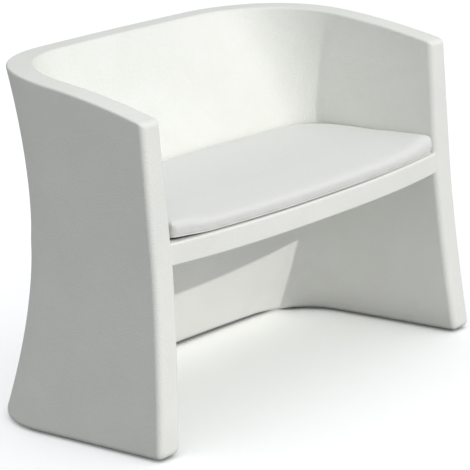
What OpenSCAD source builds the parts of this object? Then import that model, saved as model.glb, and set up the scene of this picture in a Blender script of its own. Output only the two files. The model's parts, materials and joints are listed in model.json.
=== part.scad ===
// Two-seat garden bench: one hollow moulding with a wrap-round back and arms,
// a bowed seat deck, a loose seat pad with a zipped cover, and floor glides.
// Millimetres, +Z up, front towards -Y. The origin is on the floor, at the middle.

/* [Heights] */
// Height of the back's rim above the floor
back_h = 720; // [690:1:750]
// Fall of the rim from the back to the arm fronts
rim_drop = 64; // [40:1:80]
// Height of the waist, where the outside is slimmest
waist_h = 376; // [360:1:390]
// Height of the moulding's bottom edge, held up by the glides
foot_h = 5; // [5:1:8]
// Height of the seat deck's upper face
deck_top = 415; // [405:1:425]
// Thickness of the seat deck and its front rail
deck_t = 45; // [36:1:50]

/* [Plan at the waist] */
// Half width over the arms, at their front ends
arm_front_x = 502; // [480:1:540]
// Half width over the arms, at the back
arm_rear_x = 480; // [470:1:500]
// Distance of the back's outer face behind the origin
back_y = 170; // [160:1:185]
// Radius of the back's long bow
back_r = 5650; // [4500:50:9000]
// Outer radius of the rear corners
corner_r = 119; // [110:1:130]

/* [Flare] */
// Outward flare of the arms at the floor
arm_flare = 31; // [20:1:40]
// Outward flare of the back at the rim
back_flare_rim = 113; // [95:1:125]
// Outward flare of the back at the floor
back_flare_foot = 101; // [85:1:112]
// Growth of the corner radius from the waist to the rim
corner_grow_rim = 146; // [120:1:160]
// Growth of the corner radius from the waist to the floor
corner_grow_foot = 74; // [60:1:90]

/* [Wall] */
// Thickness of the double wall, from the floor to the waist
wall_t = 61; // [56:1:66]
// Width of the rim
rim_w = 53; // [50:1:58]
// Skin of the hollow moulding
skin = 5; // [4:0.5:6]
// Rounding of the moulding's edges
edge_r = 9; // [8:0.5:11]

/* [Seat pad] */
// Height of the pad, cover included
pad_t = 39; // [34:1:45]
// Gap between the pad and the arms and back
pad_gap = 2.5; // [2:0.5:4]
// Length of the zip in the pad's rear boxing
zip_len = 420; // [300:10:440]

/* [Hidden] */
$fn = 48;

// Front face of the arms: its Y at the floor, at mid height and near the rim
front_y_foot = -265;
front_y_mid = -248;
front_y_rim = -233;
front_mid_h = 341;
front_rim_h = 682;
// Exponents of the side flare and of the rim's fall, and the extra splay of the rear corners
flare_power = 1.54;
rim_power = 2.16;
rear_splay = 19;
corner_ease = 0.86;

// Front rail: Y at the arms, forward bow at the middle, width of the blend into an arm,
// and how far the deck stays behind the arm's front face
rail_y = -254;
rail_bow = 25;
rail_blend = 9;
rail_lap = 2;

// Steps along an arm, round a corner, along half the back, up a wall, along the rail,
// and along half the pad's rear edge
arm_steps = 5;
corner_steps = 9;
back_steps = 6;
wall_steps = 7;
rail_steps = 24;
pad_steps = 24;

deck_z = deck_top - deck_t;
deck_mid = deck_top - deck_t / 2;

// Posts that tie the deck's two skins together: columns, rows, radius
tie_xs = [-315, -105, 105, 315];
tie_ys = [-170, 0];
tie_r = 13;
drain_r = 5;
drain_xs = [-105, 105];

// Glides: distance behind the arm's front face, share of the way round the corner and
// along half the back, then their size, their screws and the inserts in the shell
glide_behind = 38;
glide_corner = 0.5;
glide_back = 0.45;
glide_r = 12.5;
glide_chamfer = 1;
screw_r = 4;
screw_head_r = 7.5;
screw_head_z = 1;
screw_cone_h = 3.5;
screw_len = 20;
insert_r = 7;
insert_len = 22;
insert_clear = 0.05;
boss_r = 13;
boss_h = 34;

// Vent hole of the moulding and its snap-in plug
vent_r = 5;
vent_head_r = 9;
vent_head_t = 1.5;
vent_stem_len = 9;

// Hook-and-loop fastening between the deck and the pad
strip_l = 110;
strip_w = 25;
strip_t = 1.3;
strip_gap = 0.3;
strip_x = 330;
strip_y = -60;

// Pad: set back of its front edge from the rail, corner radii, cover and base panel.
// Its top layer is wider at the rear, where the back leans away above the zip.
pad_setback = 5;
pad_front_r = 42;
pad_rear_r = 112;
pad_top_rear_r = 97;
cover_t = 1.5;
base_t = 1;
top_layer = 12;
pad_z = deck_top + 2 * strip_t + strip_gap;
top_layer_z = pad_z + pad_t - top_layer;

// Zip: radius of its outer face about the back's bow centre, and sizes across it
zip_z = pad_z + pad_t / 2;
slit_h = 10;
tape_h = 24;
tape_t = 0.8;
coil_h = 4;
coil_t = 2;
zip_room = 4;
zip_room_over = 1;
tape_over = 6;
slider_w = 8.6;
slider_len = 13;
slider_plate = 1.2;
slider_clear = 0.3;
slider_x = -198;
stop_len = 3;
ear_t = 1.2;
ear_r = 1.4;
pin_r = 0.7;
pin_up = 1.5;
pin_clear = 0.2;
pull_len = 14;
pull_w = 5;
pull_t = 1;

// ---------- Shape of the wrap-round wall ----------

// How far z is from the waist to the rim, and from the waist to the floor, 0 to 1
function rim_share(z) = max(0, (z - waist_h) / (back_h - waist_h));
function foot_share(z) = max(0, (waist_h - z) / waist_h);
function flare(z, at_rim, at_foot) =
    at_rim * pow(rim_share(z), flare_power) + at_foot * pow(foot_share(z), flare_power);

function front_x(z) = arm_front_x + flare(z, 0, arm_flare);
function rear_x(z) = arm_rear_x + flare(z, 0, arm_flare) + rear_splay * foot_share(z);
function outer_back_y(z) = back_y + flare(z, back_flare_rim, back_flare_foot);
function corner(z) = corner_r + corner_grow_rim * rim_share(z) + corner_grow_foot * foot_share(z);
function thickness(z) = wall_t + (rim_w - wall_t) * rim_share(z);

// Front face of an arm: a parabola through its three heights
function front_y(z) =
    front_y_foot * (z - front_mid_h) * (z - front_rim_h) / (front_mid_h * front_rim_h)
    + front_y_mid * z * (z - front_rim_h) / (front_mid_h * (front_mid_h - front_rim_h))
    + front_y_rim * z * (z - front_mid_h) / (front_rim_h * (front_rim_h - front_mid_h));

// Rim height at a distance y
rear_y = outer_back_y(back_h);
rim_run = rear_y - front_y_rim;
function rim_z(y) = back_h - rim_drop * pow(max(0, (rear_y - y) / rim_run), rim_power);

// Half plan at height z, moved inward: an arm line, a corner arc and the back's long arc.
// Gives [arm start, arm direction, arm length, corner centre, corner radius, first angle,
// last angle, back centre, back radius].
function plan(z, inset, radius) =
    let (
        start = [front_x(z) - inset, front_y(z)],
        back_bow = back_r - sqrt(pow(back_r, 2) - pow(rear_x(z), 2)),
        end = [rear_x(z) - inset, outer_back_y(z) - back_bow / 2 - inset],
        along = (end - start) / norm(end - start),
        inward = [-along[1], along[0]],
        long_r = back_r - inset,
        centre = [0, outer_back_y(z) - back_r],
        lead = start + inward * radius - centre,
        run = -lead * along
            + sqrt(pow(lead * along, 2) - lead * lead + pow(long_r - radius, 2)),
        hub = start + inward * radius + along * run
    )
    [start, along, run, hub, radius, atan2(-inward[1], -inward[0]),
     atan2(hub[1] - centre[1], hub[0] - centre[0]), centre, long_r];

function wall_plan(z, inset) = plan(z, inset, corner(z) - inset * corner_ease);

function on_circle(centre, r, angle) = centre + r * [cos(angle), sin(angle)];

// A point of a half plan: part 0 is the arm from "skip" on, 1 the corner, 2 the back
function plan_point(p, part, t, skip) =
    part == 0 ? p[0] + p[1] * (skip + (p[2] - skip) * t)
    : part == 1 ? on_circle(p[3], p[4], p[5] + (p[6] - p[5]) * t)
    : on_circle(p[7], p[8], p[6] + (90 - p[6]) * t);

// Stations from the right arm's front to the left's: [mirror, part, t, skip, shrink].
// The first three round the arm's front edge over.
function half_stations(inset, edge) = concat(
    [for (a = [0, 45]) [0, 0, inset + edge * (1 - cos(a)), inset + edge * (1 - sin(a))]],
    [for (i = [0:arm_steps - 1]) [0, i / arm_steps, inset + edge, inset]],
    [for (i = [0:corner_steps - 1]) [1, i / corner_steps, 0, inset]],
    [for (i = [0:back_steps]) [2, i / back_steps, 0, inset]]
);

function stations(inset, edge) =
    let (half = half_stations(inset, edge), n = len(half))
    concat(
        [for (s = half) concat([1], s)],
        [for (i = [n - 2:-1:0]) concat([-1], half[i])]
    );

function wall_xy(s, z, inset) =
    let (q = plan_point(wall_plan(z, inset), s[1], s[2], s[3]))
    [s[0] * q[0], q[1]];

// Section of the wall, up the outside, over the rim and down the inside:
// [inside, edge inset, rise above the bottom edge, fall below the rim, share of the height]
function section_side(inside, edge) = concat(
    [for (a = [90, 45]) [inside, edge * (1 - cos(a)), edge * (1 - sin(a)), 0, 0]],
    [for (i = [0:wall_steps]) [inside, 0, edge, edge, i / wall_steps]],
    [for (a = [45, 90]) [inside, edge * (1 - cos(a)), 0, edge * (1 - sin(a)), 1]]
);

function section(edge) =
    let (outer = section_side(0, edge), inner = section_side(1, edge), n = len(inner))
    concat(outer, [for (i = [n - 1:-1:0]) inner[i]]);

function side_inset(z, inside, inset) = inside == 0 ? inset : thickness(z) - inset;

// Rim height where a station's wall face meets the rim, found by two passes
function rim_at(s, inside) =
    let (
        first = rim_z(wall_xy(s, back_h, side_inset(back_h, inside, 0))[1]),
        next = rim_z(wall_xy(s, first, side_inset(first, inside, 0))[1])
    )
    next;

function wall_point(s, c, rim) =
    let (
        low = foot_h + s[4] + c[2],
        high = rim - s[4] - c[3],
        z = low + (high - low) * c[4],
        xy = wall_xy(s, z, side_inset(z, c[0], s[4] + c[1]))
    )
    [xy[0], xy[1], z];

// The wall as one closed loft; "inset" shrinks it all round, for the hollow inside
module wall(inset, edge) {
    all = stations(inset, edge);
    loop = section(edge);
    n = len(all);
    m = len(loop);
    half = m / 2;
    points = [
        for (s = all)
            let (rims = [rim_at(s, 0), rim_at(s, 1)])
            for (c = loop) wall_point(s, c, rims[c[0]])
    ];
    skirt = [
        for (i = [0:n - 2], j = [0:m - 1])
            let (a = i * m + j, b = i * m + (j + 1) % m)
            each [[a, b, b + m], [a, b + m, a + m]]
    ];
    ends = [
        for (j = [0:half - 2])
            let (a = j, b = j + 1, c = m - 2 - j, d = m - 1 - j, k = (n - 1) * m)
            each [[a, d, c], [a, c, b], [a + k, c + k, d + k], [a + k, b + k, c + k]]
    ];
    polyhedron(points, concat(skirt, ends));
}

// ---------- Seat deck ----------

arm_inner_x = front_x(deck_mid) - wall_t;
rail_r = (pow(arm_inner_x, 2) + pow(rail_bow, 2)) / (2 * rail_bow);

// Front edge at x, moved back by inset
function rail_front(x, inset) =
    rail_y - rail_bow + rail_r - sqrt(pow(rail_r - inset, 2) - pow(x, 2));

function deck_half(inset) =
    let (mid = wall_plan(deck_mid, wall_t / 2), face = front_y(deck_mid) + inset)
    concat(
        [[arm_inner_x + rail_blend, face + rail_lap]],
        [[mid[0][0], face + rail_lap]],
        [for (i = [0:corner_steps]) plan_point(mid, 1, i / corner_steps, 0)],
        [for (i = [1:back_steps]) plan_point(mid, 2, i / back_steps, 0)]
    );

function deck_outline(inset) =
    let (half = deck_half(inset), n = len(half))
    concat(
        half,
        [for (i = [n - 2:-1:0]) [-half[i][0], half[i][1]]],
        [for (i = [0:rail_steps])
            let (x = arm_inner_x * (2 * i / rail_steps - 1)) [x, rail_front(x, inset)]]
    );

module deck(inset) {
    translate([0, 0, deck_z + inset])
        linear_extrude(deck_t - 2 * inset)
            polygon(deck_outline(inset));
}

// ---------- Glides and what holds them ----------

// Middle of the wall at the floor: front of the arm, rear corner, back
function foot_place(i) =
    let (p = wall_plan(foot_h, wall_t / 2))
    i == 0 ? plan_point(p, 0, 0, glide_behind)
    : i == 1 ? plan_point(p, 1, glide_corner, 0)
    : plan_point(p, 2, glide_back, 0);

function glide_place(side, i) = [side * foot_place(i)[0], foot_place(i)[1], 0];

module at_glides() {
    for (side = [1, -1], i = [0:2])
        translate(glide_place(side, i))
            children();
}

vent_place = [0, plan_point(wall_plan(foot_h, wall_t / 2), 2, 1, 0)[1], 0];

module ties() {
    for (x = tie_xs, y = tie_ys)
        translate([x, y, deck_z])
            cylinder(h = deck_t, r = tie_r);
}

module bosses() {
    at_glides()
        translate([0, 0, foot_h])
            cylinder(h = boss_h, r = boss_r);
}

module hollow() {
    difference() {
        union() {
            wall(skin, edge_r - skin);
            deck(skin);
        }
        ties();
        bosses();
    }
}

module bench_shell() {
    color("#eeefe9")
        difference() {
            union() {
                wall(0, edge_r);
                deck(0);
            }
            hollow();
            at_glides()
                translate([0, 0, foot_h - 1])
                    cylinder(h = insert_len + 1, r = insert_r);
            translate(vent_place + [0, 0, foot_h - 1])
                cylinder(h = skin + 2, r = vent_r);
            for (x = drain_xs)
                translate([x, tie_ys[1], deck_z - 1])
                    cylinder(h = deck_t + 2, r = drain_r);
        }
}

module threaded_inserts() {
    color("#b59a4c")
        at_glides()
            translate([0, 0, foot_h])
                difference() {
                    cylinder(h = insert_len, r = insert_r);
                    translate([0, 0, -1])
                        cylinder(h = insert_len + 2, r = screw_r + insert_clear);
                }
}

module screw_shape(clear) {
    rotate_extrude()
        polygon([
            [0, screw_head_z],
            [screw_head_r + clear, screw_head_z],
            [screw_r + clear, screw_head_z + screw_cone_h],
            [screw_r + clear, screw_len],
            [0, screw_len]
        ]);
}

module glide_screws() {
    color("#b9bcbe")
        at_glides()
            screw_shape(0);
}

module glide(side, i) {
    color("#8d9091")
        translate(glide_place(side, i))
            difference() {
                rotate_extrude()
                    polygon([
                        [0, 0], [glide_r - glide_chamfer, 0],
                        [glide_r, glide_chamfer], [glide_r, foot_h], [0, foot_h]
                    ]);
                screw_shape(insert_clear);
                translate([0, 0, -1])
                    cylinder(h = screw_head_z + 1.01, r = screw_head_r + insert_clear);
            }
}

module vent_plug() {
    color("#d9dad6")
        translate(vent_place)
            union() {
                translate([0, 0, foot_h - vent_head_t])
                    cylinder(h = vent_head_t, r = vent_head_r);
                translate([0, 0, foot_h])
                    cylinder(h = vent_stem_len, r = vent_r);
            }
}

// ---------- Hook-and-loop strips ----------

module strip(side, z) {
    translate([side * strip_x - strip_w / 2, strip_y - strip_l / 2, z])
        cube([strip_w, strip_l, strip_t]);
}

module hook_strip(side) {
    color("#cfd0cc") strip(side, deck_top);
}

module loop_strip(side) {
    color("#bfc0bc") strip(side, pad_z - strip_t);
}

// ---------- Seat pad ----------

// Front edge of the pad: the rail's bow, set back
function pad_front(x, inset) = rail_front(x, pad_setback + inset);

// The pad's plan follows the inside of the wall at height z, then crosses along the rail.
// Its front corners are arcs that touch the arm line and the bowed front edge.
function pad_half(inset, z, rear_r) =
    let (
        in = thickness(z) + pad_gap + inset,
        p = plan(z, in, rear_r - inset),
        r = pad_front_r - inset,
        inward = [-p[1][1], p[1][0]],
        rail_centre = [0, rail_y - rail_bow + rail_r],
        front_r = rail_r - pad_setback - inset,
        lead = p[0] + inward * r - rail_centre,
        run = -lead * p[1] - sqrt(pow(lead * p[1], 2) - lead * lead + pow(front_r - r, 2)),
        hub = p[0] + inward * r + p[1] * run,
        from = atan2(hub[1] - rail_centre[1], hub[0] - rail_centre[0]),
        to = p[5]
    )
    concat(
        [for (i = [0:corner_steps]) on_circle(hub, r, from + (to - from) * i / corner_steps)],
        [for (i = [0:corner_steps]) plan_point(p, 1, i / corner_steps, 0)],
        [for (i = [1:pad_steps]) plan_point(p, 2, i / pad_steps, 0)]
    );

function pad_outline(inset, z, rear_r) =
    let (half = pad_half(inset, z, rear_r), n = len(half), x_end = half[0][0])
    concat(
        half,
        [for (i = [n - 2:-1:0]) [-half[i][0], half[i][1]]],
        [for (i = [1:rail_steps - 1])
            let (x = x_end * (2 * i / rail_steps - 1)) [x, pad_front(x, inset)]]
    );

module pad_layer(inset, z, rear_r, from, to) {
    translate([0, 0, from])
        linear_extrude(to - from)
            polygon(pad_outline(inset, z, rear_r));
}

// The pad, shrunk by inset: its body up from "base", and its wider top layer
module pad_shape(inset, base) {
    top = pad_z + pad_t - inset;
    pad_layer(inset, waist_h, pad_rear_r, pad_z + base, top);
    pad_layer(inset, top_layer_z, pad_top_rear_r, top_layer_z + inset, top);
}

// Everything on the zip is turned about the centre of the back's bow
bow_centre = [0, back_y - back_r];
pad_back_r = back_r - wall_t - pad_gap;

function arc_angle(length) = length / pad_back_r * 180 / PI;

// A band along the pad's rear face: radial inset range, height range, arc length
module rear_band(r_from, r_to, z, h, length, middle_x) {
    angle = arc_angle(length);
    translate([bow_centre[0], bow_centre[1], z])
        rotate([0, 0, 90 - angle / 2 - arc_angle(middle_x)])
            rotate_extrude(angle = angle, $fn = 720)
                translate([r_from, 0])
                    square([r_to - r_from, h]);
}

foam_r = pad_back_r - cover_t;
tape_out = foam_r;
tape_in = foam_r - tape_t;
coil_out = tape_out + coil_t;

module pad_foam_core() {
    color("#e9e6d8")
        difference() {
            pad_shape(cover_t, base_t);
            rear_band(foam_r - zip_room, foam_r + 1, zip_z - tape_h / 2 - zip_room_over,
                      tape_h + 2 * zip_room_over, zip_len + 2 * (tape_over + zip_room), 0);
        }
}

module pad_cover() {
    color("#e0e1dd")
        difference() {
            pad_shape(0, 0);
            pad_shape(cover_t, -1);
            rear_band(foam_r - 1, pad_back_r + 1, zip_z - slit_h / 2, slit_h, zip_len, 0);
        }
}

module pad_base_panel() {
    color("#8f918f")
        pad_layer(cover_t, waist_h, pad_rear_r, pad_z, pad_z + base_t);
}

module zip_tape() {
    color("#c9cac6")
        rear_band(tape_in, tape_out, zip_z - tape_h / 2, tape_h, zip_len + 2 * tape_over, 0);
}

module zip_coil() {
    color("#dcddd9")
        rear_band(tape_out, coil_out, zip_z - coil_h / 2, coil_h, zip_len - 2 * stop_len, 0);
}

module zip_end_stops() {
    color("#b9bcbe")
        for (side = [1, -1])
            rear_band(tape_out, coil_out, zip_z - coil_h / 2, coil_h, stop_len,
                      side * (zip_len - stop_len) / 2);
}

// The slider's plate rides over the coil, with a lip above and below it, and two ears
// hold the pull's pin
plate_in = coil_out + slider_clear;
plate_out = plate_in + slider_plate;
pin_y = plate_out + ear_r + slider_clear;

module at_slider() {
    translate([bow_centre[0], bow_centre[1], zip_z])
        rotate([0, 0, -arc_angle(slider_x)])
            children();
}

module ear(side) {
    x = side * (pull_w / 2 + pin_clear + ear_t / 2);
    translate([x - ear_t / 2, plate_out - slider_plate / 2, pin_up - ear_r])
        cube([ear_t, pin_y - plate_out + slider_plate / 2, 2 * ear_r]);
    translate([x, pin_y, pin_up])
        rotate([0, 90, 0])
            cylinder(h = ear_t, r = ear_r, center = true);
}

module zip_slider() {
    lip = (slider_w - slider_plate) / 2;
    color("#b9bcbe")
        at_slider()
            difference() {
                union() {
                    translate([-slider_len / 2, plate_in, -slider_w / 2])
                        cube([slider_len, slider_plate, slider_w]);
                    for (up = [1, -1])
                        translate([-slider_len / 2, tape_out + slider_clear,
                                   up * lip - slider_plate / 2])
                            cube([slider_len, plate_in - tape_out, slider_plate]);
                    ear(1);
                    ear(-1);
                }
                translate([0, pin_y, pin_up])
                    rotate([0, 90, 0])
                        cylinder(h = 2 * pull_w, r = pin_r + pin_clear / 4, center = true);
            }
}

// The pull hangs from its pin, clear of the plate
module zip_pull() {
    color("#a7aaac")
        at_slider()
            translate([0, pin_y, pin_up])
                union() {
                    rotate([0, 90, 0])
                        cylinder(h = pull_w + 2 * (pin_clear + ear_t), r = pin_r, center = true);
                    translate([-pull_w / 2, -pull_t / 2, -pull_len])
                        cube([pull_w, pull_t, pull_len]);
                }
}

bench_shell();
threaded_inserts();
glide_screws();
glide(1, 0);  // glide_front_right
glide(1, 1);  // glide_corner_right
glide(1, 2);  // glide_back_right
glide(-1, 2);  // glide_back_left
glide(-1, 1);  // glide_corner_left
glide(-1, 0);  // glide_front_left
vent_plug();
hook_strip(1);  // hook_strip_right
hook_strip(-1);  // hook_strip_left
pad_foam_core();
pad_cover();
pad_base_panel();
loop_strip(1);  // loop_strip_right
loop_strip(-1);  // loop_strip_left
zip_tape();
zip_coil();
zip_end_stops();
zip_slider();
zip_pull();
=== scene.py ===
"""Looks of the two-seat garden bench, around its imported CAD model."""
import json
import math

import bmesh
import bpy
import numpy as np
from mathutils import Matrix, Vector
from mathutils.bvhtree import BVHTree

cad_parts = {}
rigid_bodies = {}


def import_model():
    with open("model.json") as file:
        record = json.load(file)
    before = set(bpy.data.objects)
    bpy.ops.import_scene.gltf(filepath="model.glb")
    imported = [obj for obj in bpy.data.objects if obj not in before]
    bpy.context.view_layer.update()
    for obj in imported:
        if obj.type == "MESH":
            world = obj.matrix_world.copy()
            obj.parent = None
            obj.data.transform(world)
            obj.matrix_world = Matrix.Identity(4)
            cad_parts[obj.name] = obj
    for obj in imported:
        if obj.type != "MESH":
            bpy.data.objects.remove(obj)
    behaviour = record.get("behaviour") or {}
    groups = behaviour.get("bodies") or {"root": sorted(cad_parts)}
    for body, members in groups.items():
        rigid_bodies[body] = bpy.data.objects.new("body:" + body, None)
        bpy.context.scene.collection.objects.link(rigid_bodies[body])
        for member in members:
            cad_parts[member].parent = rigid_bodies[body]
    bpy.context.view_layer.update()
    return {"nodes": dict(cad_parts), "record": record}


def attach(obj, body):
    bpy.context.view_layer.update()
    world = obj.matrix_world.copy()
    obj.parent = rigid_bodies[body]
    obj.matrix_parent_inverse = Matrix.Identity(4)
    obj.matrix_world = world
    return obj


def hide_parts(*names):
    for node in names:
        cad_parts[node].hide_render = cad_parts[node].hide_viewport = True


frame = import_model()
record = frame["record"]
nodes = frame["nodes"]
MM = 0.001

# ---------- The shape of the wrap-round wall, in millimetres, as the CAD has it ----------

BACK_H, RIM_DROP, WAIST_H, FOOT_H, DECK_TOP, DECK_T = 720.0, 64.0, 376.0, 5.0, 415.0, 45.0
ARM_FRONT_X, ARM_REAR_X, BACK_Y, BACK_R, CORNER_R = 502.0, 480.0, 170.0, 5650.0, 119.0
ARM_FLARE, FLARE_RIM, FLARE_FOOT, GROW_RIM, GROW_FOOT = 31.0, 113.0, 101.0, 146.0, 74.0
WALL_T, RIM_W = 61.0, 53.0
FRONT_Y = ((0.0, -265.0), (341.0, -248.0), (682.0, -233.0))
RAIL_MID_Y, RAIL_SWEEP, RAIL_END_X = -276.5, 34.5, 446.0
FLARE_CURVE, RIM_CURVE, RAIL_CURVE = 1.54, 2.16, 2.6
REAR_SPREAD, CORNER_KEEP = 19, 0.86
DECK_Z = DECK_TOP - DECK_T
DECK_MID = DECK_TOP - DECK_T / 2


def rim_share(z):
    """Share of the way from the waist up to the rim."""
    return max(0.0, (z - WAIST_H) / (BACK_H - WAIST_H))


def foot_share(z):
    """Share of the way from the waist down to the floor."""
    return max(0.0, (WAIST_H - z) / WAIST_H)


def flare(z, at_rim, at_foot):
    return at_rim * rim_share(z) ** FLARE_CURVE + at_foot * foot_share(z) ** FLARE_CURVE


def front_x(z):
    return ARM_FRONT_X + flare(z, 0, ARM_FLARE)


def rear_x(z):
    return ARM_REAR_X + flare(z, 0, ARM_FLARE) + REAR_SPREAD * foot_share(z)


def outer_back_y(z):
    return BACK_Y + flare(z, FLARE_RIM, FLARE_FOOT)


def corner(z):
    return CORNER_R + GROW_RIM * rim_share(z) + GROW_FOOT * foot_share(z)


def thickness(z):
    return WALL_T + (RIM_W - WALL_T) * rim_share(z)


def front_y(z):
    """Where the arms' fronts stand, on one curve through the three heights of FRONT_Y."""
    total = 0.0
    for i, (zi, yi) in enumerate(FRONT_Y):
        term = yi
        for j, (zj, _) in enumerate(FRONT_Y):
            if i != j:
                term *= (z - zj) / (zi - zj)
        total += term
    return total


REAR_Y = outer_back_y(BACK_H)
RIM_RUN = REAR_Y - FRONT_Y[2][1]


def rim_z(y):
    """Height of the rim, which falls from the back towards the arms' fronts."""
    return BACK_H - RIM_DROP * max(0.0, (REAR_Y - y) / RIM_RUN) ** RIM_CURVE


class Plan:
    """Half plan at height z, moved inward: an arm line, a corner arc and the back's long arc."""

    def __init__(self, z, inset, radius):
        start = np.array([front_x(z) - inset, front_y(z)])
        bow = BACK_R - math.sqrt(BACK_R ** 2 - rear_x(z) ** 2)
        end = np.array([rear_x(z) - inset, outer_back_y(z) - bow / 2 - inset])
        along = (end - start) / np.linalg.norm(end - start)
        inward = np.array([-along[1], along[0]])
        self.long_r = BACK_R - inset
        self.centre = np.array([0, outer_back_y(z) - BACK_R])
        lead = start + inward * radius - self.centre
        reach = (lead @ along) ** 2 - lead @ lead + (self.long_r - radius) ** 2
        self.run = -(lead @ along) + math.sqrt(reach)
        self.start, self.along, self.inward, self.radius = start, along, inward, radius
        self.hub = start + inward * radius + along * self.run
        self.first = math.atan2(-inward[1], -inward[0])
        toward = self.hub - self.centre
        self.last = math.atan2(toward[1], toward[0])

    def point(self, part, t, skip=0.0):
        """The point a share t along the arm (part 0), the corner (1) or half the back (2)."""
        if part == 0:
            return self.start + self.along * (skip + (self.run - skip) * t)
        if part == 1:
            a = self.first + (self.last - self.first) * t
            return self.hub + self.radius * np.array([math.cos(a), math.sin(a)])
        a = self.last + (math.pi / 2 - self.last) * t
        return self.centre + self.long_r * np.array([math.cos(a), math.sin(a)])


def wall_plan(z, inset):
    return Plan(z, inset, corner(z) - inset * CORNER_KEEP)


# ---------- Mesh helpers ----------

def new_object(name, verts, faces):
    mesh = bpy.data.meshes.new(name)
    mesh.from_pydata([tuple(v) for v in verts], [], faces)
    mesh.update()
    obj = bpy.data.objects.new(name, mesh)
    bpy.context.scene.collection.objects.link(obj)
    return obj


def bands(rows, m, first=0):
    """Quads that join each ring of m vertices to the next."""
    faces = []
    for k in range(rows - 1):
        for j in range(m):
            a, b = first + k * m + j, first + k * m + (j + 1) % m
            faces.append((a, b, b + m, a + m))
    return faces


def outward(obj):
    bm = bmesh.new()
    bm.from_mesh(obj.data)
    bmesh.ops.recalc_face_normals(bm, faces=bm.faces)
    bm.to_mesh(obj.data)
    bm.free()


def activate(obj):
    bpy.ops.object.select_all(action="DESELECT")
    obj.select_set(True)
    bpy.context.view_layer.objects.active = obj


def apply_all(obj):
    activate(obj)
    for m in list(obj.modifiers):
        bpy.ops.object.modifier_apply(modifier=m.name)


def boolean(obj, other, operation):
    m = obj.modifiers.new("cut", "BOOLEAN")
    m.operation = operation
    m.solver = "MANIFOLD"
    m.object = other
    apply_all(obj)
    bpy.data.objects.remove(other)


def smooth(obj, degrees=38):
    activate(obj)
    bpy.ops.object.shade_smooth_by_angle(angle=math.radians(degrees))


def cylinder(cx, cy, r, z0, z1, sides=32):
    verts = []
    for z in (z0, z1):
        for i in range(sides):
            a = 2 * math.pi * i / sides
            verts.append(((cx + r * math.cos(a)) * MM, (cy + r * math.sin(a)) * MM, z * MM))
    faces = bands(2, sides)
    faces += [tuple(range(sides))[::-1], tuple(range(sides, 2 * sides))]
    return new_object("cut", verts, faces)


def quarter(n, back=False):
    """The angles of a quarter turn in n steps, or the same from the far end."""
    a = [math.pi / 2 * i / n for i in range(n + 1)]
    return a[::-1] if back else a


# ---------- The moulding ----------

END_DEPTH, END_SIDE, END_TOP, FOOT_EDGE, RIM_EDGE = 12.0, 13.0, 8.0, 11.0, 5.0
END_STEPS, FOOT_STEPS, FACE_STEPS, RIM_STEPS = 6, 5, 40, 4


def wall_mesh():
    """The wall as one closed loft: fronts, foot and rim each rounded by their own radius."""
    # each station: part of the plan, place along it, run-in at the front, how far the end has closed
    half = []
    for a in quarter(END_STEPS)[:-1]:
        half.append((0, 0.0, END_DEPTH * (1 - math.cos(a)), 1 - math.sin(a)))
    arm, bend, back = 22, 26, 26
    half += [(0, i / arm, END_DEPTH, 0.0) for i in range(arm)]
    half += [(1, i / bend, 0.0, 0.0) for i in range(bend)]
    half += [(2, i / back, 0.0, 0.0) for i in range(back + 1)]
    stations = [(1,) + s for s in half] + [(-1,) + s for s in half[-2::-1]]

    def side(inside):
        """One face's rows: which face, inset, rise above foot, drop below rim, share between."""
        rows = [(inside, FOOT_EDGE * (1 - math.cos(a)), FOOT_EDGE * (1 - math.sin(a)), 0.0, 0.0)
                for a in quarter(FOOT_STEPS, back=True)[:-1]]
        rows += [(inside, 0.0, FOOT_EDGE, RIM_EDGE, i / FACE_STEPS) for i in range(FACE_STEPS + 1)]
        rows += [(inside, RIM_EDGE * (1 - math.cos(a)), 0.0, RIM_EDGE * (1 - math.sin(a)), 1.0)
                 for a in quarter(RIM_STEPS)[1:]]
        return rows

    loop = side(0) + side(1)[::-1]
    n_side = len(loop) // 2
    cache = {}

    def plan_at(z, inset):
        key = (round(z, 4), round(inset, 4))
        if key not in cache:
            cache[key] = wall_plan(z, inset)
        return cache[key]

    def xy(station, z, inset):
        mirror, part, t, skip, _ = station
        q = plan_at(z, inset).point(part, t, skip)
        return mirror * q[0], q[1]

    def face_inset(z, inside, inset):
        return thickness(z) - inset if inside else inset

    verts = []
    for station in stations:
        closed = station[4]
        rims = []
        for inside in (0, 1):
            first = rim_z(xy(station, BACK_H, face_inset(BACK_H, inside, 0))[1])
            rims.append(rim_z(xy(station, first, face_inset(first, inside, 0))[1]))
        for inside, inset, rise, drop, share in loop:
            low = FOOT_H + closed * FOOT_EDGE + rise
            high = rims[inside] - closed * END_TOP - drop
            z = low + (high - low) * share
            x, y = xy(station, z, face_inset(z, inside, closed * END_SIDE + inset))
            verts.append((x * MM, y * MM, z * MM))
    n, m = len(stations), len(loop)
    faces = bands(n, m)
    for k in (0, (n - 1) * m):
        for j in range(n_side - 1):
            quad = (k + j, k + j + 1, k + m - 2 - j, k + m - 1 - j)
            faces.append(quad if k else quad[::-1])
    obj = new_object("wall", verts, faces)
    outward(obj)
    return obj


def rail_front(x):
    """Front face of the deck: nearly straight in the middle, sweeping back to the posts."""
    return RAIL_MID_Y + RAIL_SWEEP * (min(abs(x), RAIL_END_X) / RAIL_END_X) ** RAIL_CURVE


def ease(t):
    """Smooth step from 0 to 1."""
    t = min(1.0, max(0.0, t))
    return t * t * (3 - 2 * t)


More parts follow.
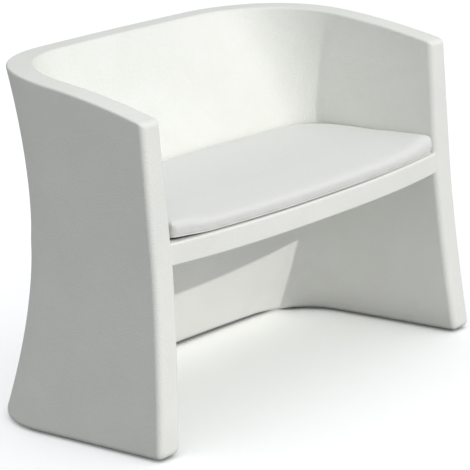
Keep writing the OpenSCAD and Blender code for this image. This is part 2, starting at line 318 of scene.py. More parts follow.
def deck_mesh():
    """The seat deck: a rounded front edge, and a small fillet where it meets the wall."""
    fillet, top_r, low_r, reach, inner = 6.0, 5.0, 4.0, 462.0, 16.0
    # each row: offset from the wall and height there, then offset and height along the rail
    rows = [(inner, DECK_TOP, inner, DECK_TOP)]
    for a in quarter(5):
        rows.append((fillet * (1 - math.sin(a)), DECK_TOP + fillet * (1 - math.cos(a)),
                     top_r * (1 - math.sin(a)), DECK_TOP - top_r * (1 - math.cos(a))))
    # along the wall these three rows lie inside it; along the rail they are its front face
    face_top, face_low = DECK_TOP - top_r, DECK_Z + low_r
    for t, off, z in ((0.25, -6.0, DECK_TOP + 4.0), (0.5, -20.0, DECK_MID), (0.75, -6.0, DECK_Z - 4.0)):
        rows.append((off, z, 0.0, face_top + (face_low - face_top) * t))
    for a in quarter(5, back=True):
        rows.append((fillet * (1 - math.sin(a)), DECK_Z - fillet * (1 - math.cos(a)),
                     low_r * (1 - math.sin(a)), DECK_Z + low_r * (1 - math.cos(a))))
    rows.append((inner, DECK_Z, inner, DECK_Z))

    arm, bend, back, rail, start = 16, 22, 22, 56, 24.0
    verts = []
    for off, z, rail_off, rail_z in rows:
        p = wall_plan(z, thickness(z) + off)
        half = [p.point(0, i / arm, start) for i in range(arm)]
        half += [p.point(1, i / bend) for i in range(bend)]
        half += [p.point(2, i / back) for i in range(back + 1)]
        loop = [(x, y, z) for x, y in half] + [(-x, y, z) for x, y in half[-2::-1]]
        for i in range(rail + 1):
            x = reach * (2 * i / rail - 1)
            loop.append((x, rail_front(x) + rail_off, rail_z))
        verts += [(x * MM, y * MM, h * MM) for x, y, h in loop]
    m = len(loop)
    faces = bands(len(rows), m)
    faces.append(tuple(range(m)))
    faces.append(tuple(range((len(rows) - 1) * m, len(rows) * m))[::-1])
    obj = new_object("deck", verts, faces)
    outward(obj)
    return obj


DRAIN_X, DRAIN_R = 105, 5.0
INSERT_R, INSERT_DEPTH, FRONT_INSERT_RUN, BACK_INSERT_SHARE = 7.0, 22, 38.0, 0.45
VENT_R, VENT_DEPTH = 5.0, 9


def drill(shell, x, y, r, z0, z1):
    boolean(shell, cylinder(x, y, r, z0, z1), "DIFFERENCE")


def build_shell():
    """The moulding, with its drain holes, insert holes and vent."""
    shell = wall_mesh()
    shell.name = "shell"
    boolean(shell, deck_mesh(), "UNION")
    for x in (-DRAIN_X, DRAIN_X):
        drill(shell, x, 0, DRAIN_R, DECK_Z - 3, DECK_TOP + 3)
    p = wall_plan(FOOT_H, WALL_T / 2)
    for side in (1, -1):
        for q in (p.point(0, 0, FRONT_INSERT_RUN), p.point(1, 0.5), p.point(2, BACK_INSERT_SHARE)):
            drill(shell, side * q[0], q[1], INSERT_R, FOOT_H - 2, FOOT_H + INSERT_DEPTH)
    drill(shell, 0, p.point(2, 1.0)[1], VENT_R, FOOT_H - 2, FOOT_H + VENT_DEPTH)
    smooth(shell)
    m = shell.modifiers.new("normals", "WEIGHTED_NORMAL")
    m.keep_sharp = True
    m.weight = 60
    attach(shell, "bench")
    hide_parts("bench_shell")
    return shell


shell = build_shell()

# ---------- The seat pad ----------

PAD_Z, PAD_H = 417.9, 39.0
PAD_TOP = PAD_Z + PAD_H
PAD_GAP, COVER_T = 2.5, 1.5
PAD_FRONT_R, PAD_REAR_R = 13.0, 112.0
PAD_FRONT_Y, PAD_BOW, PAD_HALF_W = -276.5, 36.0, 438
PAD_BOW_R = (PAD_HALF_W ** 2 + PAD_BOW ** 2) / (2 * PAD_BOW)
# the wider top layer: height its plan is taken at, gap, rear corner, and where it begins
LAYER_PLAN_Z, LAYER_GAP, LAYER_REAR_R, LAYER_UP, LAYER_RUN = 445.0, 2.2, 97.0, 20, 9.0
FRONT_SHOULDER, SIDE_SHOULDER, LEFT_SHOULDER_MORE, UNDERCUT = 13.0, 5.0, 6.0, 3.5
ZIP_Z, ZIP_LEN = PAD_Z + PAD_H / 2, 420.0
BOW_CENTRE = np.array([0.0, BACK_Y - BACK_R])
PAD_BACK_R = BACK_R - WALL_T - PAD_GAP
FOAM_R = PAD_BACK_R - COVER_T
BASE_INSET = 9.0
# the filled cover: its start size, the swelling's pressure and most move, and the simulation's steps
GROW, SINK, PRESSURE, MOST_MOVE, VOXEL, FRAMES, EVEN_ROUNDS = 7.0, 3.6, 4.0, 0.007, 0.006, 20, 40
# the fitted cover: front edge lowered in the middle, crown towards the rear, and the two front corners
FRONT_DROP, DROP_RUN, DROP_END_X, DROP_END_RUN = 11.0, 150, 434, 110
CROWN, CROWN_Y, CROWN_RUN, CROWN_Z, CROWN_KEEP = 0.13, -200, 280, 457, 0.4
CURL, CURL_X, CURL_Y, CURL_REACH = 4.2, -425.0, -240.0, 90.0
SAG, SAG_X, SAG_X_RUN, SAG_RUN = 2.0, 40, 330, 60
CORNER_PULL, PULL_X, PULL_X_RUN, PULL_RUN = 7.0, 350, 80, 120
LIFT_FADE = 30.0


def pad_loop(z_plan, gap, rear_r, setback, front_r, counts=(40, 14, 30, 60)):
    """Outline of the pad, anticlockwise from the right end of its front edge."""
    n_front, n_arc, n_arm, n_back = counts
    p = Plan(z_plan, thickness(z_plan) + gap, rear_r - gap + PAD_GAP)
    rail_centre = np.array([0.0, PAD_FRONT_Y + PAD_BOW_R])
    bow = PAD_BOW_R - setback
    lead = p.start + p.inward * front_r - rail_centre
    run = -(lead @ p.along) - math.sqrt((lead @ p.along) ** 2 - lead @ lead + (bow - front_r) ** 2)
    hub = p.start + p.inward * front_r + p.along * run
    toward = hub - rail_centre
    a0, a1 = math.atan2(toward[1], toward[0]), p.first
    if a0 > a1:
        a0 -= 2 * math.pi
    right = []
    for i in range(n_arc):
        a = a0 + (a1 - a0) * i / n_arc
        right.append(hub + front_r * np.array([math.cos(a), math.sin(a)]))
    side0 = hub - p.inward * front_r
    side1 = p.point(0, 1.0)
    right += [side0 + (side1 - side0) * i / n_arm for i in range(n_arm)]
    right += [p.point(1, i / n_arc) for i in range(n_arc)]
    right += [p.point(2, i / n_back) for i in range(n_back + 1)]
    left = [np.array([-q[0], q[1]]) for q in right[-2::-1]]
    x_end = right[0][0]
    front = []
    for i in range(1, 2 * n_front):
        x = -x_end + x_end * i / n_front
        front.append(np.array([x, rail_centre[1] - math.sqrt(bow ** 2 - x * x)]))
    return np.array(right + left + front)


def loop_inward(loop):
    """Unit inward normals of a closed anticlockwise outline."""
    tangent = np.roll(loop, -1, 0) - np.roll(loop, 1, 0)
    inward = np.stack([-tangent[:, 1], tangent[:, 0]], 1)
    return inward / np.linalg.norm(inward, axis=1)[:, None]


def pad_mesh(grow, sink):
    """The pad's closed form: flat below, a soft shoulder above, wider at the top towards the back."""
    low = pad_loop(WAIST_H, PAD_GAP - grow, PAD_REAR_R, -grow, PAD_FRONT_R)
    high = pad_loop(LAYER_PLAN_Z, LAYER_GAP - grow, LAYER_REAR_R, -grow, PAD_FRONT_R)
    z0, z1 = PAD_Z + 0.2, PAD_TOP - sink
    # each ring: inset, drop below the top and that top's height, the first two in shoulders;
    # under the shoulder, an inset in millimetres, no drop, and the share of the side's height
    rings = [(1.6, None, 0.0), (0.8, None, 0.08), (0.4, None, 0.5), (0.1, None, 0.85)]
    rings += [(1 - math.cos(a), 1 - math.sin(a), z1) for a in quarter(6)]
    verts = []
    m = len(low)
    inward = loop_inward(low)
    front = np.array([ease((n[1] - 0.2) / 0.6) for n in inward])
    wide = FRONT_SHOULDER + LEFT_SHOULDER_MORE * np.array([ease((x - 60) / 320) for x in low[:, 0]])
    shoulder = SIDE_SHOULDER + (wide - SIDE_SHOULDER) * front
    for inset, drop, z in rings:
        height = z - shoulder * drop if drop is not None else z0 + (z1 - shoulder - z0) * z
        t = np.array([ease((h - (PAD_Z + LAYER_UP)) / LAYER_RUN) for h in height])[:, None]
        depth = inset * shoulder if drop is not None else inset + UNDERCUT * front * (1 - z)
        loop = low + (high - low) * t + inward * depth[:, None]
        verts += [(x * MM, y * MM, h * MM) for (x, y), h in zip(loop, height)]
    faces = bands(len(rings), m)
    faces.append(tuple(range(m))[::-1])
    faces.append(tuple(range((len(rings) - 1) * m, len(rings) * m)))
    obj = new_object("pad", verts, faces)
    outward(obj)
    return obj


def even_out(mesh, field, rounds):
    """Averages a field of vertex moves over neighbours, which takes the ripples out of it."""
    edges = np.array([e.vertices for e in mesh.edges])
    ends = np.concatenate([edges, edges[:, ::-1]])
    count = np.bincount(ends[:, 0], minlength=len(field))[:, None]
    for _ in range(rounds):
        total = np.stack([np.bincount(ends[:, 0], field[ends[:, 1], k], len(field))
                          for k in range(3)], 1)
        field = 0.5 * field + 0.5 * total / count
    return field


def remesh(obj):
    m = obj.modifiers.new("remesh", "REMESH")
    m.mode = "VOXEL"
    m.voxel_size = VOXEL
    apply_all(obj)


def puff(obj, pressure, cap):
    """Cloth simulation of the cover over its filling; no point moves further than cap."""
    before = np.array([v.co for v in obj.data.vertices])
    m = obj.modifiers.new("cloth", "CLOTH")
    s = m.settings
    s.quality = 5
    s.mass = 0.3
    s.tension_stiffness = s.compression_stiffness = 18
    s.shear_stiffness = 8
    s.bending_stiffness = 1.2
    s.use_pressure = True
    s.uniform_pressure_force = pressure
    s.effector_weights.gravity = 0
    m.point_cache.frame_start, m.point_cache.frame_end = 1, FRAMES
    scene = bpy.context.scene
    for f in range(1, FRAMES + 1):
        scene.frame_set(f)
    dg = bpy.context.evaluated_depsgraph_get()
    after = np.array([v.co for v in obj.evaluated_get(dg).data.vertices])
    obj.modifiers.remove(m)
    move = even_out(obj.data, after - before, EVEN_ROUNDS)
    size = np.linalg.norm(move, axis=1)
    keep = np.minimum(1.0, cap / np.maximum(size, 1e-9))
    final = before + move * keep[:, None]
    obj.data.vertices.foreach_set("co", final.astype(np.float32).ravel())
    obj.data.update()
    scene.frame_set(1)


def edge_gap(x, y):
    """Distance behind the pad's front edge."""
    return y - (PAD_FRONT_Y + PAD_BOW_R - math.sqrt(PAD_BOW_R ** 2 - x * x))


def corner_lift(x, y):
    """The underside curls up at the right front corner and sags on the rail towards the left one."""
    curl = CURL * ease(1 - math.hypot(x - CURL_X, y - CURL_Y) / CURL_REACH)
    return curl - SAG * ease((x - SAG_X) / SAG_X_RUN) * ease(1 - edge_gap(x, y) / SAG_RUN)


def fit_pad(pad):
    """Smooths the cover, lowers its front edge, crowns its rear and shapes its front corners."""
    m = pad.modifiers.new("smooth", "SMOOTH")
    m.factor, m.iterations = 0.5, 2
    apply_all(pad)
    for v in pad.data.vertices:
        x, y, z = (c / MM for c in v.co)
        gap = edge_gap(x, y)
        low = FRONT_DROP * ease(1 - gap / DROP_RUN) * ease((DROP_END_X - abs(x)) / DROP_END_RUN)
        stretch = 1 + CROWN * ease((y - CROWN_Y) / CROWN_RUN) - low / PAD_H
        z = PAD_Z + (max(z, PAD_Z + 0.5) - PAD_Z) * stretch
        if z > CROWN_Z:
            z = CROWN_Z + (z - CROWN_Z) * CROWN_KEEP
        v.co.z = (z + corner_lift(x, y) * ease(1 - (z - PAD_Z) / LIFT_FADE)) * MM
        v.co.x = (x + CORNER_PULL * ease((-x - PULL_X) / PULL_X_RUN) * ease(1 - gap / PULL_RUN)) * MM
    m = pad.modifiers.new("fine", "SUBSURF")
    m.levels = m.render_levels = 1
    apply_all(pad)


def seat_rear(pad):
    """Brings the rear boxing to the zip's face, then cuts the slit that shows the tape."""
    for v in pad.data.vertices:
        x, y, z = (c / MM for c in v.co)
        if y < 0:
            continue
        near = ease((16 - abs(z - ZIP_Z)) / 8) * ease((ZIP_LEN / 2 + 40 - abs(x)) / 30)
        r = math.hypot(x, y - BOW_CENTRE[1])
        if near > 0 and r > PAD_BACK_R - 15:
            scale = 1 + (PAD_BACK_R - r) * near / r
            v.co.x, v.co.y = x * scale * MM, (BOW_CENTRE[1] + (y - BOW_CENTRE[1]) * scale) * MM
    boolean(pad, rear_band(FOAM_R - 1.0, PAD_BACK_R + 4, ZIP_Z, 5.0, ZIP_LEN), "DIFFERENCE")


def rear_band(r0, r1, z, half_h, length, steps=60):
    """A block that follows the back's bow from radius r0 to r1."""
    verts = []
    for i in range(steps + 1):
        a = math.pi / 2 + length / PAD_BACK_R * (0.5 - i / steps)
        for r, h in ((r0, -half_h), (r1, -half_h), (r1, half_h), (r0, half_h)):
            verts.append((r * math.cos(a) * MM, (BOW_CENTRE[1] + r * math.sin(a)) * MM, (z + h) * MM))
    faces = bands(steps + 1, 4)
    faces += [(0, 1, 2, 3), tuple(4 * steps + j for j in (3, 2, 1, 0))]
    band = new_object("band", verts, faces)
    outward(band)
    return band


def build_pad():
    pad = pad_mesh(GROW, SINK)
    pad.name = "seat_pad"
    remesh(pad)
    puff(pad, PRESSURE, MOST_MOVE)
    fit_pad(pad)
    seat_rear(pad)
    smooth(pad, 50)
    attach(pad, "pad")
    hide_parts("pad_cover", "pad_foam_core")
    return pad


def tube(name, path, radius, sides=8):
    """A closed round cord along a loop of points, in millimetres."""
    path = np.array(path)
    along = np.roll(path, -1, 0) - np.roll(path, 1, 0)
    along /= np.linalg.norm(along, axis=1)[:, None]
    side = np.cross(along, [0, 0, 1.0])
    side /= np.linalg.norm(side, axis=1)[:, None]
    up = np.cross(side, along)
    n = len(path)
    verts, faces = [], []
    for k in range(n):
        for j in range(sides):
            a = 2 * math.pi * j / sides
            q = path[k] + radius * (math.cos(a) * side[k] + math.sin(a) * up[k])
            verts.append(q * MM)
    for k in range(n):
        for j in range(sides):
            a, b = k * sides + j, k * sides + (j + 1) % sides
            c, d = (k + 1) % n * sides + j, (k + 1) % n * sides + (j + 1) % sides
            faces.append((a, b, d, c))
    obj = new_object(name, verts, faces)
    outward(obj)
    smooth(obj, 180)
    return obj


RAY_BACK, RAY_LEN, PATH_ROUNDS = 30, 0.08, 6


def skin_path(tree, loop, height, proud, probe=0.0):
    """Points on the pad's side at a height above its plane, found from outside."""
    path = []
    for (x, y), n in zip(loop, loop_inward(loop)):
        z = PAD_Z + height + corner_lift(x, y)
        start = Vector(((x - RAY_BACK * n[0]) * MM, (y - RAY_BACK * n[1]) * MM, (z + probe) * MM))
        hit = tree.ray_cast(start, Vector((n[0], n[1], 0)), RAY_LEN)[0]
        q = np.array(hit) / MM if hit is not None else np.array([x, y, z])
        path.append((q[0] - proud * n[0], q[1] - proud * n[1], z))
    path = np.array(path)
    for _ in range(PATH_ROUNDS):
        path = (np.roll(path, 1, 0) + 2 * path + np.roll(path, -1, 0)) / 4
    return path


def resample(path, step):
    """The same closed loop with points a fixed step apart."""
    closed = np.vstack([path, path[:1]])
    run = np.concatenate([[0], np.cumsum(np.linalg.norm(np.diff(closed, axis=0), axis=1))])
    n = int(run[-1] / step)
    at = np.arange(n) * run[-1] / n
    return np.stack([np.interp(at, run, closed[:, k]) for k in range(closed.shape[1])], 1)


def capsule_faces(base, rows, sides):
    """Faces of a short round bar, closed at both ends."""
    faces = bands(rows, sides, base)
    faces.append(tuple(base + j for j in range(sides)))
    faces.append(tuple(base + (rows - 1) * sides + j for j in range(sides))[::-1])
    return faces


# Sections of a stitch: share of the pitch, share of the radius, and dip into the cloth in radii
STITCH = ((0.12, 0.35, 0.6), (0.22, 0.9, 0.0), (0.5, 1.0, -0.1), (0.78, 0.9, 0.0), (0.88, 0.35, 0.6))


def stitches(name, path, radius):
    """A row of short lock stitches: each lies along the path and dips in at both ends."""
    verts, faces = [], []
    n, sides = len(path), 6
    lean = loop_inward(path[:, :2])
    for k in range(n):
        a, b = path[k], path[(k + 1) % n]
        inward = np.array([lean[k][0], lean[k][1], 0])
        side = np.cross((b - a) / np.linalg.norm(b - a), inward)
        base = len(verts)
        for t, r, dip in STITCH:
            c = a + (b - a) * t + inward * dip * radius
            for j in range(sides):
                w = 2 * math.pi * j / sides
                verts.append((c + radius * r * (math.cos(w) * side + math.sin(w) * inward)) * MM)
        faces += capsule_faces(base, len(STITCH), sides)
    obj = new_object(name, verts, faces)
    outward(obj)
    smooth(obj, 60)
    return obj


# Height above the pad's plane, how far it stands proud, and radius
WELT_UP, WELT_PROUD, WELT_R, WELT_PROBE = 1.6, -0.3, 1.25, 4.0
STITCH_UP, STITCH_PROUD, STITCH_R, STITCH_PITCH = 5.2, 0.05, 0.42, 4.6


def build_seams(pad):
    """The welt round the pad's lower edge and the stitching above it."""
    tree = BVHTree.FromObject(pad, bpy.context.evaluated_depsgraph_get())
    loop = resample(pad_loop(WAIST_H, PAD_GAP, PAD_REAR_R, 0.0, PAD_FRONT_R), 5.0)
    welt = tube("pad_welt", skin_path(tree, loop, WELT_UP, WELT_PROUD, WELT_PROBE), WELT_R)
    path = resample(skin_path(tree, loop, STITCH_UP, STITCH_PROUD), STITCH_PITCH)
    seam = stitches("pad_stitches", path, STITCH_R)
    for obj in (welt, seam):
        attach(obj, "pad")
    return welt, seam


HEM_R = 0.9


def build_base():
    """The mesh panel under the pad, a thin plate with a rolled edge that follows the front corners."""
    # each ring: inset, and height above the pad's plane
    rings = [(0.0, 0.75), (0.1, 0.3), (0.8, 0.0), (8.0, 0.0), (30.0, 0.0)]
    loop = pad_loop(WAIST_H, PAD_GAP + BASE_INSET, PAD_REAR_R, BASE_INSET, PAD_FRONT_R - 4)
    lean = loop_inward(loop)
    verts = []
    for inset, up in rings:
        for (x, y), n in zip(loop, lean):
            qx, qy = x + n[0] * inset, y + n[1] * inset
            verts.append((qx * MM, qy * MM, (PAD_Z + up + corner_lift(qx, qy)) * MM))
    m = len(loop)
    faces = bands(len(rings), m)
    faces.append(tuple((len(rings) - 1) * m + j for j in range(m)))
    low = len(verts)
    for x, y in loop:
        verts.append((x * MM, y * MM, (PAD_Z + 1.0 + corner_lift(x, y)) * MM))
    faces += [(j, (j + 1) % m, low + (j + 1) % m, low + j) for j in range(m)]
    faces.append(tuple(low + j for j in range(m)))
    base = new_object("pad_base", verts, faces)
    outward(base)
    smooth(base, 50)
    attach(base, "pad")
    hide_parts("pad_base_panel")
    path = [(x, y, PAD_Z + HEM_R + corner_lift(x, y)) for x, y in resample(loop, 6.0)]
    hem = tube("pad_base_hem", path, HEM_R)
    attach(hem, "pad")
    return base, hem


# Sections of a zip tooth: share of its length and share of its thickness
TOOTH = ((0, 0.5), (0.12, 0.9), (0.5, 1.0), (0.88, 0.9), (1.0, 0.5))
TOOTH_PITCH = 1.6
TOOTH_DEEP, TOOTH_WIDE = 0.92, 0.7
TOOTH_TIP, TOOTH_ROOT = 1.95, 0.55
STOP_ROOM = 14


def build_teeth():
    """The zip's two rows of teeth, meshed along the middle of its tape."""
    verts, faces, sides = [], [], 8
    count = int((ZIP_LEN - STOP_ROOM) / TOOTH_PITCH)
    for i in range(count):
        a = math.pi / 2 + (i - (count - 1) / 2) * TOOTH_PITCH / FOAM_R
        out, along = np.array([math.cos(a), math.sin(a)]), np.array([-math.sin(a), math.cos(a)])
        low, high = (-TOOTH_TIP, TOOTH_ROOT) if i % 2 else (-TOOTH_ROOT, TOOTH_TIP)
        base = len(verts)
        for t, share in TOOTH:
            for j in range(sides):
                w = 2 * math.pi * j / sides
                reach = FOAM_R + 1.0 + TOOTH_DEEP * share * math.cos(w)
                q = BOW_CENTRE + out * reach + along * TOOTH_WIDE * share * math.sin(w)
                verts.append((q[0] * MM, q[1] * MM, (ZIP_Z + low + (high - low) * t) * MM))
        faces += capsule_faces(base, len(TOOTH), sides)
    teeth = new_object("zip_teeth", verts, faces)
    outward(teeth)
    smooth(teeth, 50)
    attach(teeth, "pad")
    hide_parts("zip_coil")
    return teeth


pad = build_pad()
teeth = build_teeth()
welt, seam = build_seams(pad)
base, hem = build_base()

# ---------- Materials ----------

def material(name, color, rough, metallic=0.0, **sockets):
    m = bpy.data.materials.new(name)
    m.use_nodes = True
    b = m.node_tree.nodes["Principled BSDF"]
    b.inputs["Base Color"].default_value = (*color, 1)
    b.inputs["Roughness"].default_value = rough
    b.inputs["Metallic"].default_value = metallic
    for key, value in sockets.items():
        b.inputs[key.replace("_", " ")].default_value = value
    return m, m.node_tree, b


def node(tree, kind, **inputs):
    n = tree.nodes.new(kind)
    for key, value in inputs.items():
        name = key.replace("_", " ")
        if name in n.inputs:
            n.inputs[name].default_value = value
        else:
            setattr(n, key, value)
    return n


def coords(tree):
    return tree.nodes.new("ShaderNodeTexCoord").outputs["Object"]


def two_tones(tree, b, factor, low, high, start, end):
    """Base colour that goes from low to high as the factor goes from start to end."""
    ramp = tree.nodes.new("ShaderNodeValToRGB")
    first, last = ramp.color_ramp.elements[0], ramp.color_ramp.elements[1]
    first.position, last.position = start, end
    first.color, last.color = (*low, 1), (*high, 1)
    tree.links.new(factor, ramp.inputs["Fac"])
    tree.links.new(ramp.outputs["Color"], b.inputs["Base Color"])


def mottle(tree, b, low, high, scale):
    """Colour that drifts softly between two tones."""
    noise = node(tree, "ShaderNodeTexNoise", Scale=scale, Detail=3.0)
    tree.links.new(coords(tree), noise.inputs["Vector"])
    two_tones(tree, b, noise.outputs["Fac"], low, high, 0.3, 0.7)


def cell_distance(tree, scale):
    cells = node(tree, "ShaderNodeTexVoronoi", Scale=scale)
    tree.links.new(coords(tree), cells.inputs["Vector"])
    return cells.outputs["Distance"]


def bump(tree, b, height, distance, strength=1.0, normal=None):
    n = node(tree, "ShaderNodeBump", Strength=strength, Distance=distance)
    tree.links.new(height, n.inputs["Height"])
    if normal is not None:
        tree.links.new(normal, n.inputs["Normal"])
    tree.links.new(n.outputs["Normal"], b.inputs["Normal"])
    return n.outputs["Normal"]


def grain(tree, b, scale, distance, detail=2.0, normal=None):
    noise = node(tree, "ShaderNodeTexNoise", Scale=scale, Detail=detail)
    tree.links.new(coords(tree), noise.inputs["Vector"])
    return bump(tree, b, noise.outputs["Fac"], distance, normal=normal)


def moulded_plastic():
    """White plastic with a slow surface wave under two sizes of grain."""
    m, t, b = material("moulded_plastic", (0.84, 0.845, 0.80), 0.5)
    mottle(t, b, (0.835, 0.842, 0.80), (0.868, 0.874, 0.84), 9.0)
    wave = grain(t, b, 22.0, 0.0009)
    speckle = grain(t, b, 300.0, 0.0009, 3.0, normal=wave)
    grain(t, b, 950.0, 0.00022, 3.0, normal=speckle)
    return m


WEAVE_PITCH = 0.0032


def woven_fabric():
    """Two crossing sets of threads, with a finer grain over them."""
    m, t, b = material("woven_fabric", (0.7, 0.7, 0.68), 0.9, Sheen_Weight=0.04, Sheen_Roughness=0.5)
    mottle(t, b, (0.80, 0.805, 0.785), (0.825, 0.83, 0.81), 160.0)
    split = t.nodes.new("ShaderNodeSeparateXYZ")
    t.links.new(coords(t), split.inputs[0])

    def wave(axis):
        add = node(t, "ShaderNodeMath", operation="ADD")
        t.links.new(split.outputs[axis], add.inputs[0])
        t.links.new(split.outputs["Z"], add.inputs[1])
        mul = node(t, "ShaderNodeMath", operation="MULTIPLY")
        mul.inputs[1].default_value = 2 * math.pi / WEAVE_PITCH
        t.links.new(add.outputs[0], mul.inputs[0])
        s = node(t, "ShaderNodeMath", operation="SINE")
        t.links.new(mul.outputs[0], s.inputs[0])
        return s.outputs[0]

    both = node(t, "ShaderNodeMath", operation="MULTIPLY")
    t.links.new(wave("X"), both.inputs[0])
    t.links.new(wave("Y"), both.inputs[1])
    first = bump(t, b, both.outputs[0], 0.0004, 0.6)
    grain(t, b, 420.0, 0.0003, 4.0, normal=first)
    return m


def open_mesh(name, color):
    """Knitted base mesh: small dark cells between pale cords."""
    m, t, b = material(name, color, 0.8)
    cells = cell_distance(t, 420.0)
    two_tones(t, b, cells, [c * 0.45 for c in color], color, 0.25, 0.5)
    bump(t, b, cells, 0.0008)
    return m


def plain_plastic(name, color, rough):
    m, t, b = material(name, color, rough)
    mottle(t, b, tuple(c * 0.9 for c in color), color, 60.0)
    grain(t, b, 900.0, 0.00015)
    return m


def metal(name, color, rough):
    m, t, b = material(name, color, rough, 1.0)
    mottle(t, b, tuple(c * 0.82 for c in color), color, 140.0)
    grain(t, b, 1500.0, 0.00005)
    return m


def tape(name, color):
    m, t, b = material(name, color, 0.95, Sheen_Weight=0.3)
    mottle(t, b, tuple(c * 0.8 for c in color), color, 300.0)
    bump(t, b, cell_distance(t, 900.0), 0.0006)
    return m


shell.data.materials.clear()
shell.data.materials.append(moulded_plastic())
pad.data.materials.clear()
pad.data.materials.append(woven_fabric())
thread = tape("pad_thread", (0.74, 0.745, 0.725))
for obj in (welt, hem):
    obj.data.materials.append(pad.data.materials[0])
seam.data.materials.append(thread)
base.data.materials.append(open_mesh("base_mesh", (0.36, 0.365, 0.36)))

glide = plain_plastic("glide_nylon", (0.3, 0.305, 0.31), 0.45)
steel = metal("screw_steel", (0.6, 0.61, 0.62), 0.3)
brass = metal("insert_brass", (0.6, 0.45, 0.18), 0.35)
plug = plain_plastic("plug_plastic", (0.6, 0.61, 0.58), 0.5)
hook_tape = tape("hook_tape", (0.6, 0.605, 0.58))
zip_nylon = tape("zip_nylon", (0.62, 0.625, 0.6))
teeth.data.materials.append(zip_nylon)
zip_metal = metal("zip_metal", (0.55, 0.56, 0.57), 0.28)
FINISH = {
    "glide_plastic": glide, "screw_steel": steel, "insert_brass": brass, "plug_plastic": plug,
    "strip_fabric": hook_tape, "zip_plastic": zip_nylon, "zip_metal": zip_metal,
}
for part in record["subparts"]:
    finish = FINISH.get(part["material_slot"])
    if finish:
        obj = nodes[part["node"]]
        obj.data.materials.clear()
        obj.data.materials.append(finish)

# ---------- Floor, light, camera ----------

FLOOR_SEEN, FLOOR_BOUNCE, FLOOR_HALF = 1.63, 0.57, 30
FILL_TINT, FILL_LEVEL, FILL_ABOVE, FILL_FRONT = (0.97, 0.985, 1.0, 1), 0.265, 0.81, 0.265
SUN_AZ, SUN_EL, SUN_ENERGY, SUN_WIDTH, SUN_TINT = 6.2, 28.0, 1.49, 0.8, (1.0, 0.99, 0.965)
GLOW_ENERGY, GLOW_SIZE, GLOW_PLACE = 0.62, (0.84, 0.7), (0.0, -0.15, 0.002)
CAM_AZ, CAM_EL, CAM_ROLL, CAM_DIST, CAM_LENS = -50.4235, 14.5629, -2.4227, 4.9417, 186.34
CAM_TARGET = Vector((-0.1343, -0.1445, 0.3489))

floor = new_object("floor", [(x * FLOOR_HALF, y * FLOOR_HALF, 0)
                             for x, y in ((-1, -1), (1, -1), (1, 1), (-1, 1))], [(0, 1, 2, 3)])


def seen_and_lit(tree, seen, lit, out):
    """The camera sees one shader, and the light that bounces off takes the other."""
    path = tree.nodes.new("ShaderNodeLightPath")
    mix = tree.nodes.new("ShaderNodeMixShader")
    tree.links.new(path.outputs["Is Camera Ray"], mix.inputs[0])
    tree.links.new(lit, mix.inputs[1])
    tree.links.new(seen, mix.inputs[2])
    tree.links.new(mix.outputs[0], out.inputs["Surface"])


floor_mat = bpy.data.materials.new("floor_white")
floor_mat.use_nodes = True
tree = floor_mat.node_tree
tree.nodes.clear()
paper = node(tree, "ShaderNodeBsdfDiffuse", Color=(FLOOR_SEEN, FLOOR_SEEN, FLOOR_SEEN, 1))
bounce = node(tree, "ShaderNodeBsdfDiffuse", Color=(FLOOR_BOUNCE, FLOOR_BOUNCE, FLOOR_BOUNCE, 1))
seen_and_lit(tree, paper.outputs[0], bounce.outputs[0], tree.nodes.new("ShaderNodeOutputMaterial"))
floor.data.materials.append(floor_mat)

world = bpy.data.worlds.new("studio")
world.use_nodes = True
tree = world.node_tree
tree.nodes.clear()
white = node(tree, "ShaderNodeBackground", Color=(1, 1, 1, 1), Strength=1.0)
# the fill grows with height, and with the square of how far it comes from the front
fill = node(tree, "ShaderNodeBackground", Color=FILL_TINT)
direction = node(tree, "ShaderNodeTexCoord")
split = node(tree, "ShaderNodeSeparateXYZ")
height = node(tree, "ShaderNodeMapRange", From_Min=0.0, From_Max=1.0,
              To_Min=FILL_LEVEL, To_Max=FILL_ABOVE)
tree.links.new(direction.outputs["Generated"], split.inputs[0])
tree.links.new(split.outputs["Z"], height.inputs["Value"])
toward = node(tree, "ShaderNodeMath", operation="MINIMUM")
toward.inputs[1].default_value = 0.0
squared = node(tree, "ShaderNodeMath", operation="POWER")
squared.inputs[1].default_value = 2.0
share = node(tree, "ShaderNodeMath", operation="MULTIPLY_ADD")
share.inputs[1].default_value = FILL_FRONT
tree.links.new(split.outputs["Y"], toward.inputs[0])
tree.links.new(toward.outputs[0], squared.inputs[0])
tree.links.new(squared.outputs[0], share.inputs[0])
tree.links.new(height.outputs["Result"], share.inputs[2])
tree.links.new(share.outputs[0], fill.inputs["Strength"])
seen_and_lit(tree, white.outputs[0], fill.outputs[0], tree.nodes.new("ShaderNodeOutputWorld"))
bpy.context.scene.world = world


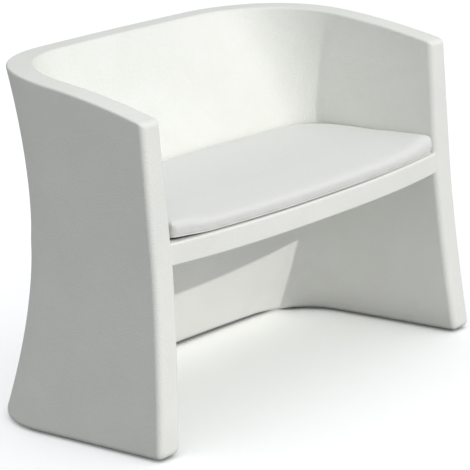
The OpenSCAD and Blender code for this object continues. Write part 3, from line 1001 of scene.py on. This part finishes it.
def heading(azimuth, elevation):
    """Unit vector that points from the object to a place round it."""
    a, e = math.radians(azimuth), math.radians(elevation)
    return Vector((math.sin(a) * math.cos(e), -math.cos(a) * math.cos(e), math.sin(e)))


sun = bpy.data.lights.new("key", "SUN")
sun.energy = SUN_ENERGY
sun.angle = math.radians(SUN_WIDTH)
sun.color = SUN_TINT
sun_obj = bpy.data.objects.new("key", sun)
bpy.context.scene.collection.objects.link(sun_obj)
sun_obj.rotation_mode = "QUATERNION"
sun_obj.rotation_quaternion = heading(SUN_AZ, SUN_EL).to_track_quat("Z", "Y")
glow = bpy.data.lights.new("floor_bounce", "AREA")
glow.shape = "RECTANGLE"
glow.size, glow.size_y = GLOW_SIZE
glow.energy = GLOW_ENERGY
glow_obj = bpy.data.objects.new("floor_bounce", glow)
bpy.context.scene.collection.objects.link(glow_obj)
glow_obj.location = GLOW_PLACE
glow_obj.rotation_euler = (math.pi, 0, 0)
glow_obj.visible_camera = False
lit_things = bpy.data.collections.new("lit_by_key")
for obj in bpy.context.scene.objects:
    if obj.type == "MESH" and obj is not floor:
        lit_things.objects.link(obj)
sun_obj.light_linking.receiver_collection = lit_things

cam_turn, cam_roll = math.radians(CAM_AZ), math.radians(CAM_ROLL)
back = heading(CAM_AZ, CAM_EL)
right = Vector((math.cos(cam_turn), math.sin(cam_turn), 0))
up = back.cross(right)
rolled_right = right * math.cos(cam_roll) + up * math.sin(cam_roll)
rolled_up = up * math.cos(cam_roll) - right * math.sin(cam_roll)
cam_data = bpy.data.cameras.new("camera")
cam_data.lens, cam_data.sensor_width = CAM_LENS, 36.0
cam_data.clip_start, cam_data.clip_end = 0.1, 100.0
cam = bpy.data.objects.new("camera", cam_data)
bpy.context.scene.collection.objects.link(cam)
cam.matrix_world = Matrix((
    (rolled_right.x, rolled_up.x, back.x, 0),
    (rolled_right.y, rolled_up.y, back.y, 0),
    (rolled_right.z, rolled_up.z, back.z, 0),
    (0, 0, 0, 1)))
cam.location = CAM_TARGET + back * CAM_DIST
bpy.context.scene.camera = cam
bpy.context.scene.view_settings.view_transform = "Standard"
